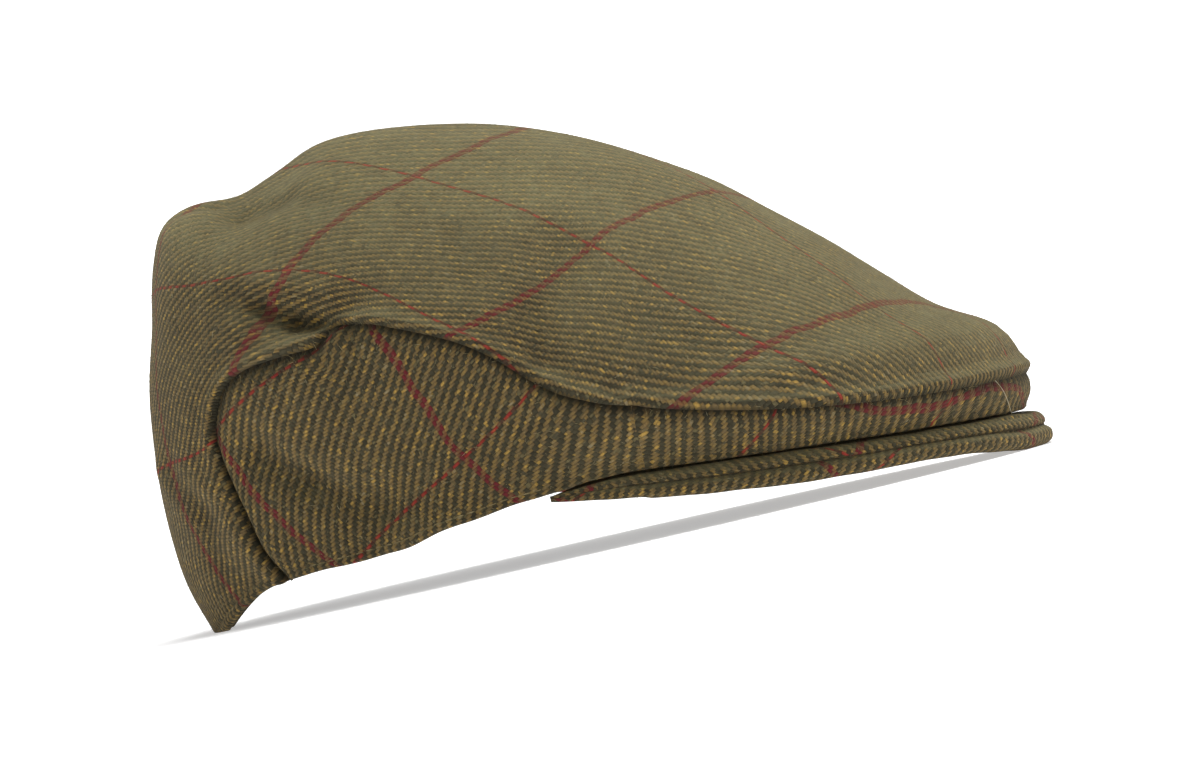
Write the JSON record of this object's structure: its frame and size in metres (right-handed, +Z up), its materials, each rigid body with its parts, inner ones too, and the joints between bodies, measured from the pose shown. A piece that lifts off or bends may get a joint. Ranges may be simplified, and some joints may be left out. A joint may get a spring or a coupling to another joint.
{
  "type": "flat cap",
  "caption": "Soft tweed flat cap with a sloping crown, side panels and a short stiff peak; a hat worn on the head.",
  "frame": {"origin": "under the middle of the cap, on the surface it rests on", "axes": "+X to the front of the cap, +Y to the wearer's left, +Z up"},
  "size_m": [0.2774, 0.1998, 0.1435],
  "materials": {
    "crown_tweed": "twill-woven wool tweed with a red overcheck",
    "peak_tweed": "the same tweed drawn tight over a stiff board"
  },
  "bodies": {
    "root": {"top_panel": "crown_tweed", "side_panel_right": "crown_tweed", "side_panel_left": "crown_tweed", "peak": "peak_tweed"}
  },
  "joints": []
}
